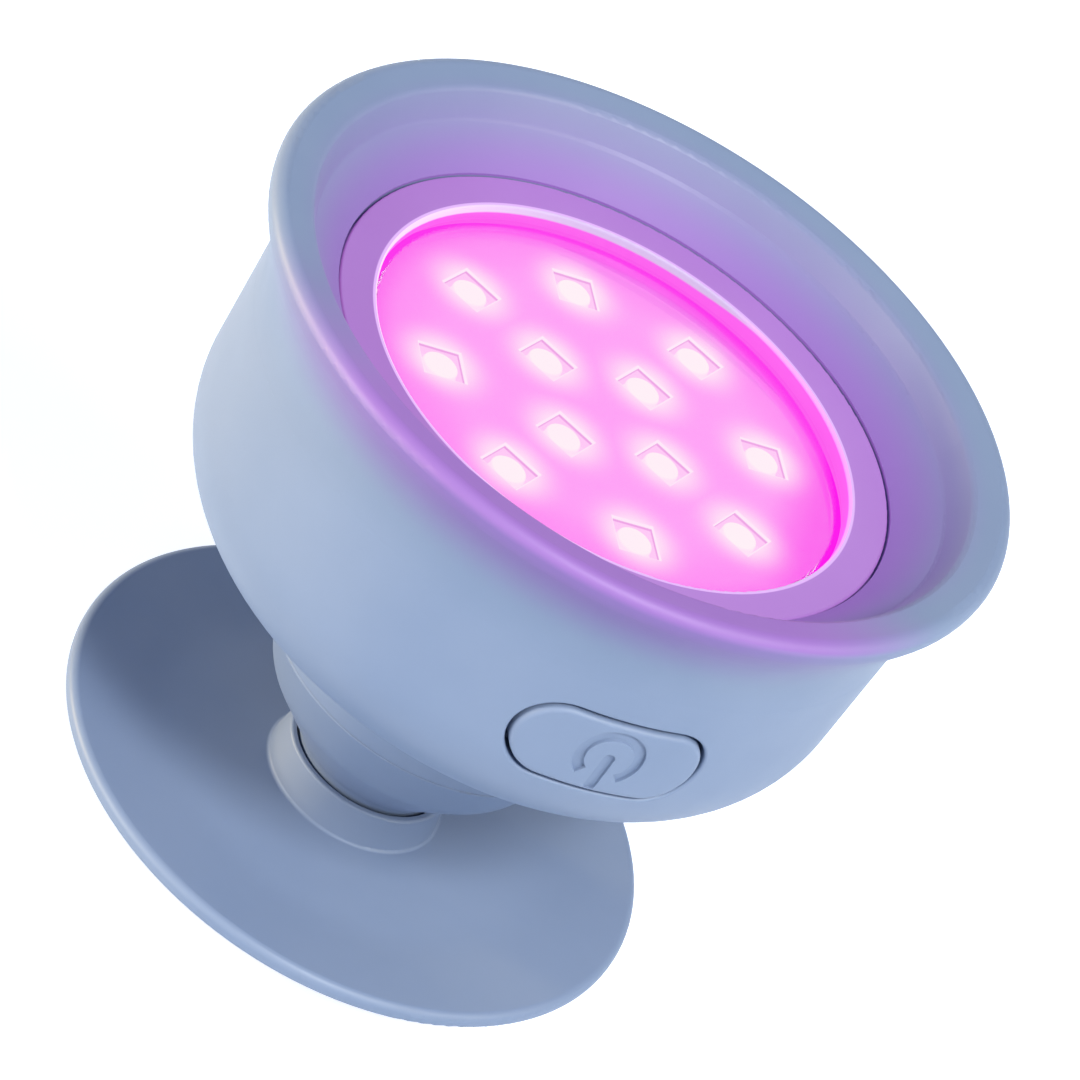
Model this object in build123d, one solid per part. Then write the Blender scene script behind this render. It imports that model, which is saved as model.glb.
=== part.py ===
from build123d import *
import math
import os

# Acne light therapy device: a cup shaped head with twelve square light emitters behind a clear
# window, carried on a round base. The origin is the centre of the base's underside, +Z runs up the
# common axis to the rim of the cup, and the power button faces -Y. All lengths are millimetres.

# Base disc
foot_radius = 29.4
foot_edge = 1.6
foot_rise = 1.3
dish_radius = 20.0
dish_blend = 25.0
web_thickness = 0.9
heel_radius = 24.8
heel_lift = 0.35
edge_round = 0.72
pad_radius = 23.0
pad_thickness = 1.0
ballast_radius = 20.0
ballast_thickness = 0.8

# Collar of the base and the bush that turns in it
collar_foot_radius = 8.86
collar_radius = 8.3
collar_height = 3.7
collar_round = 0.28
collar_fillet = 0.35
bush_radius = 6.3
bush_flange_thickness = 0.7
bush_play = 0.3
spigot_radius = 5.0
magnet_radius = 3.5
magnet_thickness = 1.6

# Outside of the head, from the neck up to the lip and down into the cup
neck_radius = 7.2
neck_sink = 1.45
neck_rise = 0.25
neck_cove = 4.0
dome_radius = 13.85
dome_height = 7.1
dome_round = 6.0
ridge_radius = 16.05
ridge_height = 5.05
seam_round = 0.2
waist_lean = 0.55
waist_height = 4.0
waist_round = 1.5
flank_height = 9.1
shoulder_round = 11.7
side_lean = 0.68
flare_width = 3.52
flare_round = 16.0
flare_height = 5.97
lip_radius = 36.5
lip_draft = 0.08
lip_height = 2.08
lip_round = 2.4
rim_round = 1.1
land_width = 3.9
land_fall = 0.85
land_round = 0.8
step_width = 1.3
step_drop = 2.75
step_round = 1.0
cove_width = 3.85
cove_drop = 3.0
cove_round = 0.25

# Head housing
seam_height = 4.3
wall = 2.4
floor_thickness = 2.5
ledge_gap = 0.7
ledge_wall = 1.5
tongue_width = 0.5
tongue_height = 1.2
register_radius = 9.3
register_height = 2.2
neck_core_radius = 7.0
neck_core_depth = 6.0

# Light module, from the front face down
bezel_sink = 0.1
bezel_fall = 0.25
bezel_width = 3.7
bezel_gap = 0.2
bezel_round = 0.2
window_sink = 1.6
window_lap = 0.45
window_thickness = 1.0
gasket_width = 0.6
cup_flange = 1.6
well_size = 3.9
emitter_size = 3.5
emitter_height = 1.0
emitter_mouth_radius = 1.45
emitter_floor_radius = 1.0
reflector_thickness = 2.0
light_board_thickness = 1.2
spreader_thickness = 1.2
spreader_gap = 0.3
plate_margin = 1.7
outer_ring_radius = 16.3
outer_ring_count = 8
inner_ring_radius = 7.0
inner_ring_count = 4
lead_slot_radius = 2.4
lead_slot_place = 11.5

# Button and its switch
button_width = 18.25
button_depth = 8.8
button_gap = 0.35
button_proud = 0.25
button_round = 0.45
pocket_round = 0.25
button_flange = 1.0
button_lap = 0.55
button_travel = 0.6
button_post_radius = 1.8
button_post_length = 0.6
switch_width = 6.0
switch_length = 4.0
switch_tall = 3.8
plunger_radius = 1.4
plunger_reach = 0.9

# Control board, battery and tray
board_thickness = 1.6
board_headroom = 1.25
cell_length = 30.0
cell_width = 22.0
cell_thickness = 7.0
cell_round = 1.3
cell_pad_thickness = 0.8
tray_lift = 6.1
tray_floor = 1.2
tray_wall = 1.2
tray_wall_height = 4.0
tray_post_radius = 2.3
tray_post_x = 6.0
tray_post_y = 16.4
board_post_radius = 2.0
board_post_merge = 0.4
board_post_y = 16.8

# Components on the control board: width, depth and height of each, and its place
controller_size = (7.0, 7.0, 1.0)
controller_place = (-8.0, 4.0)
driver_size = (4.0, 5.0, 1.2)
driver_place = (8.0, 5.0)
coil_size = (6.0, 6.0, 3.0)
coil_place = (-9.0, -8.0)
coil_round = 1.5
capacitor_radius = 2.0
capacitor_height = 4.4
capacitor_places = ((9.0, -8.0), (14.0, -8.0))
plug_size = (7.0, 4.2, 3.6)

# Charging socket at the back
socket_width = 8.94
socket_tall = 3.26
socket_length = 7.35
socket_shell = 0.3
socket_depth = 6.0
socket_tongue_width = 6.7
socket_tongue_tall = 0.7
socket_sink = 1.3
seal_wall = 0.5
seal_length = 2.2
seal_lead = 0.5

# Screws
screw_radius = 1.0
screw_head_radius = 1.9
screw_head_height = 1.2
screw_head_round = 0.3
neck_screw_count = 3
neck_screw_place = 11.6
neck_screw_bite = 4.0
tray_screw_bite = 3.5
module_screw_count = 4
module_screw_margin = 1.2
module_screw_bite = 2.0
module_screw_radius = 0.8
module_screw_head_radius = 1.5
flange_screw_count = 4
flange_screw_bite = 4.5
flange_boss_radius = 2.2
flange_boss_height = 6.0

# Wires
wire_radius = 0.5
wire_pitch = 1.6
wire_bend = 1.5
lead_drop = 3.0
lead_step = 2.6
lead_start = 1.4

# Clearances
fit = 0.1
running = 0.06
seat = 0.05
mouth_gap = 0.55
hole_play = 0.05

# How far a cutting form runs past the piece that it cuts
overcut = 1.0

# Heights of the base and of the head's corners, from the table up
ballast_z = pad_thickness
web_z = ballast_z + ballast_thickness
dish_z = web_z + web_thickness
collar_z = dish_z + collar_height
neck_z = collar_z - neck_sink
bush_top_z = neck_z - seat
bush_step_z = bush_top_z - bush_flange_thickness
cove_start_z = collar_z + neck_rise
dome_z = cove_start_z + dome_height
ridge_z = dome_z + ridge_height
waist_z = ridge_z + waist_height
shoulder_z = waist_z + flank_height
floor_z = ridge_z + floor_thickness

# Heights of what the bowl holds, from its floor up to the button and the ledge above it
tray_z = floor_z + tray_lift
tray_top_z = tray_z + tray_floor
cell_z = tray_top_z + cell_pad_thickness
board_z = cell_z + cell_thickness + board_headroom
board_top_z = board_z + board_thickness
button_height = board_top_z + switch_tall / 2
ledge_z = button_height + button_depth / 2 + button_lap + ledge_gap

# Heights of the light module, from the ledge up to the groove round the bezel
spreader_z = ledge_z + spreader_gap
light_board_z = spreader_z + spreader_thickness
reflector_z = light_board_z + light_board_thickness
reflector_top_z = reflector_z + reflector_thickness
window_z = reflector_top_z + fit
window_top_z = window_z + window_thickness
bezel_z = window_top_z + window_sink + bezel_fall
groove_z = bezel_z + bezel_sink
cup_flange_z = groove_z - cup_flange
bezel_flange_z = cup_flange_z - seat
bezel_foot_z = reflector_top_z

# Heights of the cup's corners, and of the seam between the cup and the bowl
step_z = groove_z + cove_drop
land_z = step_z + step_drop
rim_z = land_z + land_fall
lip_z = rim_z - lip_height
flare_z = lip_z - flare_height
seam_z = flare_z - seam_height

# Radii that follow from the lip
flare_radius = lip_radius - flare_width
bowl_radius = flare_radius - side_lean
groove_radius = lip_radius - land_width - step_width - cove_width
bezel_outer_radius = groove_radius - bezel_gap
bezel_inner_radius = bezel_outer_radius - bezel_width
window_radius = bezel_inner_radius + window_lap
window_pocket_radius = window_radius + gasket_width + fit
module_screw_place = window_pocket_radius + module_screw_margin
plate_radius = module_screw_place + plate_margin
flange_screw_place = bezel_outer_radius + screw_head_radius + hole_play


def line_radius(low, high, z):
    """Radius at height z on the straight line between two (radius, height) points."""
    share = (z - low[1]) / (high[1] - low[1])
    return low[0] + share * (high[0] - low[0])


ridge_corner = (ridge_radius, ridge_z)
waist_corner = (ridge_radius + waist_lean, waist_z)
shoulder_corner = (bowl_radius, shoulder_z)
flare_corner = (flare_radius, flare_z)


def side_radius(z):
    """Outside radius of the bowl's side at height z."""
    return line_radius(shoulder_corner, flare_corner, z)


ring_bore_radius = side_radius(ledge_z) - ledge_wall
ring_radius = ring_bore_radius - fit

# Places of the button, its switch, the control board and the charging socket
button_back = side_radius(button_height) - wall - fit - button_flange
post_end = button_back - button_post_length
switch_front = post_end - plunger_reach
board_radius = switch_front
board_post_x = cell_length / 2 + fit + tray_wall + board_post_radius - board_post_merge
plug_z = board_top_z + plug_size[2]
socket_z = board_top_z + socket_tall / 2
socket_front = side_radius(socket_z) - socket_sink


def turned(*corners):
    """Solid of revolution about Z. Each corner is (radius, height) or (radius, height, rounding)."""
    points = [corner[:2] for corner in corners]
    roundings = [corner[2] if len(corner) > 2 else 0 for corner in corners]
    outline = FilletPolyline(*points, radius=roundings, close=True)
    return revolve(Plane.XZ * make_face(outline), Axis.Z)


def disc(radius, low, high):
    """Round plate about Z between two heights."""
    return Pos(0, 0, low) * extrude(Circle(radius), high - low)


def ring(inner, outer, low, high):
    """Round plate with a round hole."""
    return disc(outer, low, high) - disc(inner, low - overcut, high + overcut)


def peg(x, y, radius, low, high):
    """Upright round post, or the hole for one."""
    return Pos(x, y) * disc(radius, low, high)


def block(width, depth, low, high, rounding=0):
    """Upright rectangular plate centred on Z, with rounded corners if asked."""
    face = RectangleRounded(width, depth, rounding) if rounding else Rectangle(width, depth)
    return Pos(0, 0, low) * extrude(face, high - low)


def around(radius, count, start=0.0):
    """Places spaced evenly on a circle, turned to face outwards."""
    return [Rot(0, 0, start + 360 * i / count) * Pos(radius, 0) for i in range(count)]


def capsule_bar(width, depth, z, near, far):
    """Bar with round ends that lies along Y at height z, from y = near to y = far."""
    face = SlotOverall(width, depth)
    return Pos(0, far, z) * (Plane.XZ * extrude(face, far - near))


def inset(chain, depth):
    """Corners of the chain that runs parallel to this one, nearer to the axis by depth."""
    lines = []
    for (r1, z1), (r2, z2) in zip(chain, chain[1:]):
        run = math.hypot(r2 - r1, z2 - z1)
        shift_r = -(z2 - z1) / run * depth
        shift_z = (r2 - r1) / run * depth
        lines.append(((r1 + shift_r, z1 + shift_z), (r2 - r1, z2 - z1)))
    (first_r, first_z), _ = lines[0]
    corners = [(first_r, first_z)]
    for ((r1, z1), (dr1, dz1)), ((r2, z2), (dr2, dz2)) in zip(lines, lines[1:]):
        step = ((r2 - r1) * dz2 - (z2 - z1) * dr2) / (dr1 * dz2 - dz1 * dr2)
        corners.append((r1 + step * dr1, z1 + step * dz1))
    (last_r, last_z), (last_dr, last_dz) = lines[-1]
    corners.append((last_r + last_dr, last_z + last_dz))
    return corners


def bowl_form(depth):
    """Solid bowl whose side, flank and waist lie inside the housing's by depth."""
    chain = [ridge_corner, waist_corner, shoulder_corner, flare_corner]
    low, waist, shoulder, high = inset(chain, depth)
    return turned(
        (0, low[1]),
        low,
        (*waist, waist_round + depth),
        (*shoulder, shoulder_round - depth),
        high,
        (0, high[1]),
    )


def head_form():
    """Whole outside of the head: neck, dome, bowl, lip and the cup's inner wall."""
    return turned(
        (0, neck_z),
        (neck_radius, neck_z),
        (neck_radius, cove_start_z, neck_cove),
        (dome_radius, dome_z, dome_round),
        ridge_corner,
        (*waist_corner, waist_round),
        (*shoulder_corner, shoulder_round),
        (*flare_corner, flare_round),
        (lip_radius - lip_draft, lip_z, lip_round),
        (lip_radius, rim_z, rim_round),
        (lip_radius - land_width, land_z, land_round),
        (lip_radius - land_width - step_width, step_z, step_round),
        (groove_radius, groove_z, cove_round),
        (0, groove_z),
    )


def slab(low, high):
    """Everything between two heights, wider than the object."""
    return disc(2 * lip_radius, low, high)


def pan_screw(seat_z, bite, above, radius=screw_radius, head_radius=screw_head_radius):
    """Pan head screw along Z that bites away from its head, which lies above or below its seat."""
    head_z = seat_z if above else seat_z - screw_head_height
    shank_z = seat_z - bite if above else seat_z
    head = disc(head_radius, head_z, head_z + screw_head_height)
    rim = head.edges().group_by(Axis.Z)[-1 if above else 0]
    head = fillet(rim, screw_head_round)
    drive = disc(radius / 2, head_z, head_z + screw_head_height)
    lift = screw_head_height / 2 if above else -screw_head_height / 2
    return head + disc(radius, shank_z, shank_z + bite) - Pos(0, 0, lift) * drive


def flat_screw(top, bite, play=0.0):
    """Countersunk screw that points down, its head flush with height top, or the hole for it."""
    radius = screw_radius + play
    head_radius = screw_head_radius + play
    return turned(
        (0, top),
        (head_radius, top),
        (radius, top - head_radius + radius),
        (radius, top - bite),
        (0, top - bite),
    )


def screw_hole(low, high, radius=screw_radius):
    """Hole for a screw's shank."""
    return disc(radius + hole_play, low, high)


# Base

def make_base_saucer():
    mouth_radius = neck_radius + mouth_gap
    bore_radius = bush_radius + running
    edge_top = dish_z + foot_rise
    saucer = turned(
        (0, dish_z),
        (dish_radius, dish_z, dish_blend),
        (foot_radius, edge_top, edge_round),
        (foot_radius, edge_top - foot_edge, edge_round),
        (heel_radius, heel_lift),
        (pad_radius + fit, heel_lift),
        (pad_radius + fit, ballast_z),
        (ballast_radius + fit, ballast_z),
        (ballast_radius + fit, web_z),
        (0, web_z),
    )
    collar = turned(
        (0, web_z),
        (collar_foot_radius + collar_fillet, web_z),
        (collar_foot_radius + collar_fillet, dish_z),
        (collar_foot_radius, dish_z, collar_fillet),
        (collar_radius, collar_z, collar_round),
        (0, collar_z),
    )
    mouth = disc(mouth_radius, bush_step_z - seat, collar_z + overcut)
    return saucer + collar - mouth - disc(bore_radius, web_z - overcut, collar_z)


def make_ballast_plate():
    return disc(ballast_radius, ballast_z, web_z)


def make_foot_pad():
    pad = disc(pad_radius, 0, pad_thickness)
    return chamfer(pad.edges().group_by(Axis.Z)[0], heel_lift / 2)


def make_swivel_bush():
    flange_radius = neck_radius + mouth_gap - bush_play
    return turned(
        (spigot_radius + running, web_z + fit),
        (bush_radius, web_z + fit),
        (bush_radius, bush_step_z),
        (flange_radius, bush_step_z),
        (flange_radius, bush_top_z),
        (spigot_radius + running, bush_top_z),
    )


# Outer pieces of the head

def soften_seam(shape, height):
    """Rounds the outermost edge at one height, so that a fine groove marks the seam there."""
    edges = [edge for edge in shape.edges() if abs((edge @ 0.5).Z - height) < seam_round / 2]
    outer = max(edges, key=lambda edge: edge.length)
    return fillet(outer, seam_round)


def neck_screw_places():
    return around(neck_screw_place, neck_screw_count, start=90 / neck_screw_count)


def make_neck_stem():
    neck = soften_seam(head_form() & slab(neck_z, ridge_z), ridge_z)
    neck += disc(register_radius, ridge_z, ridge_z + register_height)
    neck += disc(spigot_radius, web_z + 2 * fit, neck_z)
    top = ridge_z + register_height
    neck -= disc(neck_core_radius, top - neck_core_depth, top)
    neck -= disc(magnet_radius + hole_play, web_z, web_z + 2 * fit + magnet_thickness)
    hole = screw_hole(ridge_z - neck_screw_bite, ridge_z)
    for place in neck_screw_places():
        neck -= place * hole
    return neck


def make_stem_magnet():
    low = web_z + 2 * fit
    return disc(magnet_radius, low, low + magnet_thickness)


def make_neck_screws():
    screw = pan_screw(floor_z, floor_thickness + neck_screw_bite - fit, above=True)
    return [place * screw for place in neck_screw_places()]


def tray_post_places():
    return [Pos(x, y) for x in (-tray_post_x, tray_post_x) for y in (-tray_post_y, tray_post_y)]


def flange_screw_places():
    return around(flange_screw_place, flange_screw_count, start=180 / flange_screw_count)


def tongue_radii():
    middle = (ring_bore_radius + side_radius(seam_z)) / 2
    return middle - tongue_width / 2, middle + tongue_width / 2


def make_housing_bowl():
    bowl = soften_seam(head_form() & slab(ridge_z, seam_z), ridge_z)
    hollow = bowl_form(wall) & slab(floor_z, seam_z + overcut)
    bosses = [place * disc(tray_post_radius, ridge_z, tray_z) for place in tray_post_places()]
    boss = disc(flange_boss_radius, ledge_z - flange_boss_height, ledge_z)
    bosses += [place * boss for place in flange_screw_places()]
    for shape in bosses:
        hollow -= shape
    bowl -= hollow
    bowl -= disc(ring_bore_radius, ledge_z, seam_z + overcut)
    inner, outer = tongue_radii()
    bowl += ring(inner, outer, seam_z, seam_z + tongue_height)
    bowl -= disc(register_radius + fit, ridge_z - overcut, floor_z + overcut)
    for place in neck_screw_places():
        bowl -= place * screw_hole(ridge_z - overcut, floor_z + overcut)
    for place in tray_post_places():
        bowl -= place * screw_hole(tray_z - tray_screw_bite, tray_z)
    for place in flange_screw_places():
        bowl -= place * screw_hole(ledge_z - flange_screw_bite, ledge_z)
    bowl -= capsule_bar(button_width, button_depth, button_height, -lip_radius, 0)
    bowl -= capsule_bar(
        socket_width + 2 * (seal_wall + fit),
        socket_tall + 2 * (seal_wall + fit),
        socket_z,
        0,
        lip_radius,
    )
    return soften_pocket(bowl)


def soften_pocket(bowl):
    """Rounds the outer edge of the button's pocket."""
    middle = side_radius(button_height) - wall / 2
    outside = []
    for edge in bowl.edges():
        point = edge @ 0.5
        near = abs(point.Z - button_height) < button_depth and abs(point.X) < button_width
        if near and point.Y < 0 and math.hypot(point.X, point.Y) > middle:
            outside.append(edge)
    return fillet(outside, pocket_round)


def make_face_cup():
    cup = head_form() & slab(seam_z, rim_z + overcut)
    cup -= disc(groove_radius, seam_z, groove_z + overcut)
    cup -= disc(ring_bore_radius + seat, seam_z, cup_flange_z)
    inner, outer = tongue_radii()
    return cup - ring(inner - hole_play, outer + hole_play, seam_z, seam_z + tongue_height + seat)


# Light module

def module_screw_places():
    return around(module_screw_place, module_screw_count)


def make_bezel_ring():
    bezel = turned(
        (bezel_inner_radius, bezel_z - bezel_fall, bezel_round),
        (bezel_outer_radius, bezel_z, bezel_round),
        (bezel_outer_radius, bezel_flange_z),
        (ring_radius, bezel_flange_z),
        (ring_radius, bezel_foot_z),
        (window_pocket_radius, bezel_foot_z),
        (window_pocket_radius, window_top_z),
        (bezel_inner_radius, window_top_z),
    )
    hole = screw_hole(bezel_foot_z, bezel_foot_z + module_screw_bite, module_screw_radius)
    for place in module_screw_places():
        bezel -= place * hole
    cut = flat_screw(bezel_flange_z, bezel_flange_z - bezel_foot_z + overcut, hole_play)
    for place in flange_screw_places():
        bezel -= place * cut
    return bezel


def make_lens_window():
    window = disc(window_radius, window_z, window_top_z)
    return chamfer(window.edges().group_by(Axis.Z)[-1], fit)


def make_lens_gasket():
    return ring(window_radius + hole_play, window_radius + gasket_width, window_z, window_top_z)


def emitter_places():
    outer = around(outer_ring_radius, outer_ring_count)
    inner = around(inner_ring_radius, inner_ring_count, start=180 / inner_ring_count)
    return outer, inner


def module_plate(low, high):
    """Round plate of the light module with the holes that its screws pass through."""
    plate = disc(plate_radius, low, high)
    for place in module_screw_places():
        plate -= place * screw_hole(low - overcut, high + overcut, module_screw_radius)
    return plate


def make_reflector_plate():
    plate = module_plate(reflector_z, reflector_top_z)
    outer, inner = emitter_places()
    well = block(well_size, well_size, reflector_z - overcut, reflector_top_z + overcut)
    return plate - [place * well for place in outer + inner]


def make_emitters(places):
    emitter = block(emitter_size, emitter_size, reflector_z, reflector_z + emitter_height)
    depth = emitter_height / 2
    cup = Cone(emitter_floor_radius, emitter_mouth_radius, depth)
    cup = Pos(0, 0, reflector_z + emitter_height - depth / 2) * cup
    return [place * (emitter - cup) for place in places]


def make_light_board():
    return module_plate(light_board_z, reflector_z)


def lead_slot(low, high):
    return Pos(0, lead_slot_place) * disc(lead_slot_radius, low, high)


def make_heat_spreader():
    slot = lead_slot(spreader_z - overcut, light_board_z + overcut)
    return module_plate(spreader_z, light_board_z) - slot


def make_module_screws():
    bite = bezel_foot_z + module_screw_bite - fit - spreader_z
    screw = pan_screw(spreader_z, bite, False, module_screw_radius, module_screw_head_radius)
    return [place * screw for place in module_screw_places()]


def make_support_ring():
    inner = plate_radius + fit
    body = ring(inner, ring_radius, ledge_z, bezel_foot_z)
    for place in flange_screw_places():
        body -= place * screw_hole(ledge_z - overcut, bezel_foot_z + overcut)
    return body


def make_flange_screws():
    screw = flat_screw(bezel_flange_z, bezel_flange_z - ledge_z + flange_screw_bite - fit)
    return [place * screw for place in flange_screw_places()]


# Battery, tray and control board

def make_battery_tray():
    inside_x = cell_length + 2 * fit
    inside_y = cell_width + 2 * fit
    tray = disc(lip_radius, tray_z, tray_top_z)
    wall_top = tray_top_z + tray_wall_height
    tray += block(inside_x + 2 * tray_wall, inside_y + 2 * tray_wall, tray_z, wall_top, tray_wall)
    for x, y in board_post_spots():
        tray += peg(x, y, board_post_radius, tray_z, board_z)
    tray = tray & bowl_form(wall + fit)
    tray -= block(inside_x, inside_y, tray_top_z, board_z, tray_wall / 2)
    for place in tray_post_places():
        tray -= place * screw_hole(tray_z - overcut, tray_top_z + overcut)
    for x, y in board_post_spots():
        tray -= Pos(x, y) * screw_hole(board_z - tray_screw_bite, board_z + overcut)
    return tray


def board_post_spots():
    return [(board_post_x, 0), (-board_post_x, 0), (0, board_post_y), (0, -board_post_y)]


def make_tray_screws():
    screw = pan_screw(tray_top_z, tray_floor + tray_screw_bite - fit, above=True)
    return [place * screw for place in tray_post_places()]


def make_cell_pad():
    return block(cell_length, cell_width, tray_top_z, cell_z, tray_wall / 2)


def make_battery_cell():
    cell = block(cell_length, cell_width, cell_z, cell_z + cell_thickness)
    return fillet(cell.edges(), cell_round)


def make_control_board():
    board = disc(board_radius, board_z, board_top_z)
    for x, y in board_post_spots():
        board -= Pos(x, y) * screw_hole(board_z - overcut, board_top_z + overcut)
    return board


def make_board_screws():
    screw = pan_screw(board_top_z, board_thickness + tray_screw_bite - fit, above=True)
    return [Pos(x, y) * screw for x, y in board_post_spots()]


def component(size, place):
    """Block that stands on the control board."""
    width, depth, height = size
    return Pos(*place) * block(width, depth, board_top_z, board_top_z + height)


def make_control_chips():
    coil = component(coil_size, coil_place)
    capacitor = disc(capacitor_radius, board_top_z, board_top_z + capacitor_height)
    return [
        component(controller_size, controller_place),
        component(driver_size, driver_place),
        fillet(coil.edges().filter_by(Axis.Z), coil_round),
        component(plug_size, (0, lead_slot_place - lead_step)),
        *[Pos(*place) * capacitor for place in capacitor_places],
    ]


# Button and switch

def make_power_button():
    height = button_depth - 2 * button_gap
    width = button_width - 2 * button_gap
    back = button_back / 2
    cap = bowl_form(-button_proud) & capsule_bar(width, height, button_height, -lip_radius, -back)
    cap -= bowl_form(wall + fit + button_flange)
    face = cap.faces().sort_by(Axis.Y)[0]
    cap = fillet(face.edges(), button_round)
    lap = 2 * (button_lap + button_gap)
    flange = bowl_form(wall + fit) & capsule_bar(
        width + lap, height + lap, button_height, -lip_radius, -back
    )
    flange -= bowl_form(wall + fit + button_flange)
    post = Pos(0, -post_end, button_height) * (
        Plane.XZ * extrude(Circle(button_post_radius), button_post_length + button_flange / 2)
    )
    return cap + flange + post


def make_switch_plunger():
    tip = Pos(0, -switch_front + button_travel, button_height)
    return tip * (Plane.XZ * extrude(Circle(plunger_radius), plunger_reach + button_travel))


def make_switch_body():
    body = block(switch_width, switch_length, board_top_z, board_top_z + switch_tall)
    body = Pos(0, -switch_front + switch_length / 2) * body
    length = 2 * button_travel + fit
    bore = extrude(Circle(plunger_radius + running), length)
    return body - Pos(0, -switch_front + length, button_height) * (Plane.XZ * bore)


# Charging socket

def make_charge_socket():
    back = socket_front - socket_length
    shell = capsule_bar(socket_width, socket_tall, socket_z, back, socket_front)
    shell -= capsule_bar(
        socket_width - 2 * socket_shell,
        socket_tall - 2 * socket_shell,
        socket_z,
        socket_front - socket_depth,
        socket_front + overcut,
    )
    tongue = Box(socket_tongue_width, socket_depth, socket_tongue_tall)
    return shell + Pos(0, socket_front - socket_depth / 2 - seal_lead, socket_z) * tongue


def make_port_seal():
    front = socket_front + seal_lead
    outer_width = socket_width + 2 * seal_wall
    outer_tall = socket_tall + 2 * seal_wall
    seal = capsule_bar(outer_width, outer_tall, socket_z, front - seal_length, front)
    return seal - capsule_bar(
        socket_width + 2 * hole_play,
        socket_tall + 2 * hole_play,
        socket_z,
        front - seal_length - overcut,
        front + overcut,
    )


# Wires

def wire(*points):
    path = FilletPolyline(*points, radius=wire_bend)
    section = Plane(origin=path @ 0, z_dir=path % 0) * Circle(wire_radius)
    return sweep(section, path)


def make_battery_leads():
    start = cell_length / 2 + hole_play
    reach = board_post_x + board_post_radius + 2 * wire_radius
    height = cell_z + cell_thickness - lead_drop
    side = board_post_radius + 2 * wire_radius
    return [wire((start, y, height), (reach, y, height), (reach, y, board_z)) for y in (-side, side)]


def make_light_leads():
    plug_y = lead_slot_place - lead_step
    low = plug_z + lead_start
    high = light_board_z - lead_start
    leads = []
    for x in (-wire_pitch / 2, wire_pitch / 2):
        start = (x, plug_y, plug_z)
        end = (x, lead_slot_place, light_board_z)
        leads.append(wire(start, (x, plug_y, low), (x, lead_slot_place, high), end))
    return leads


def save(name, shapes):
    """Writes one named piece, or one group of alike pieces, as a STEP file."""
    solids = shapes.solids() if hasattr(shapes, "solids") else [s for x in shapes for s in x.solids()]
    whole = solids[0] if len(solids) == 1 else Compound(children=solids)
    whole.label = name
    export_step(whole, os.path.join("parts", name + ".step"))


def main():
    os.makedirs("parts", exist_ok=True)
    outer, inner = emitter_places()
    save("base_saucer", make_base_saucer())
    save("ballast_plate", make_ballast_plate())
    save("foot_pad", make_foot_pad())
    save("swivel_bush", make_swivel_bush())
    save("neck_stem", make_neck_stem())
    save("stem_magnet", make_stem_magnet())
    save("neck_screws", make_neck_screws())
    save("housing_bowl", make_housing_bowl())
    save("face_cup", make_face_cup())
    save("bezel_ring", make_bezel_ring())
    save("lens_window", make_lens_window())
    save("lens_gasket", make_lens_gasket())
    save("reflector_plate", make_reflector_plate())
    save("outer_emitters", make_emitters(outer))
    save("inner_emitters", make_emitters(inner))
    save("light_board", make_light_board())
    save("heat_spreader", make_heat_spreader())
    save("module_screws", make_module_screws())
    save("support_ring", make_support_ring())
    save("flange_screws", make_flange_screws())
    save("battery_tray", make_battery_tray())
    save("tray_screws", make_tray_screws())
    save("cell_pad", make_cell_pad())
    save("battery_cell", make_battery_cell())
    save("control_board", make_control_board())
    save("board_screws", make_board_screws())
    save("control_chips", make_control_chips())
    save("switch_body", make_switch_body())
    save("switch_plunger", make_switch_plunger())
    save("power_button", make_power_button())
    save("charge_socket", make_charge_socket())
    save("port_seal", make_port_seal())
    save("battery_leads", make_battery_leads())
    save("light_leads", make_light_leads())


main()
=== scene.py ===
# %% [markdown]
# # A light therapy head on its base
#
# The object is a cup shaped head with a soft flared lip. Behind a clear window in the cup are twelve
# square light emitters, and their pink light fills the cup and shines through its soft wall. The head
# stands in the collar of a round dished base.
#
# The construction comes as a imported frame: each piece is already at its real size and place. This
# script gives every piece its finish, adds the fine pieces that the frame leaves out, and sets the
# light and the camera.

# %% Load the frame
import math

import bmesh
import bpy
from mathutils import Matrix, Vector


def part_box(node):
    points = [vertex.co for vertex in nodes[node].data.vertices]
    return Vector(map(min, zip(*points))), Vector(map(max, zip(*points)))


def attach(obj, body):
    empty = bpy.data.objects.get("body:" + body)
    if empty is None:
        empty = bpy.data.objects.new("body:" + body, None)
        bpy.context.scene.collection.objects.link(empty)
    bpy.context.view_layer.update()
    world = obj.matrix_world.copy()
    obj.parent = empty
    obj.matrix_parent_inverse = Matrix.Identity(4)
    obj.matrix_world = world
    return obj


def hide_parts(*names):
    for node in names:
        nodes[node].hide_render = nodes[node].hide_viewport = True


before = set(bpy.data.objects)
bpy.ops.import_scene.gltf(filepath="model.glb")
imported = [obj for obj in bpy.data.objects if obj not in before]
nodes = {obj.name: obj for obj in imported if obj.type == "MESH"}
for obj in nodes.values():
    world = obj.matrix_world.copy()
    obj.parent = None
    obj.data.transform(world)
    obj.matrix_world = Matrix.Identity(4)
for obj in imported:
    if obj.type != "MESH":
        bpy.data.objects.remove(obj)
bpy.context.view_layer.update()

MM = 0.001
print("pieces in the frame:", len(nodes))

# %% [markdown]
# ## The camera
#
# The picture is taken from far away with a long lens, which keeps the round shapes calm, and the
# camera is rolled by a third of a right angle, so that the upright object leans across the picture.
# The camera is placed by the point in the middle of the picture, the direction it is seen from, its
# distance and its roll. A camera looks along its own -Z axis, so its Z axis points back at us.

# %% Place the camera
CAMERA_AIM = Vector((9.73, 12.98, 25.91)) * MM
CAMERA_AZIMUTH = math.radians(-31)
CAMERA_ELEVATION = math.radians(33.971)
CAMERA_ROLL = math.radians(34.41)
CAMERA_DISTANCE = 473.2 * MM
CAMERA_LENS = 169.03


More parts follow.
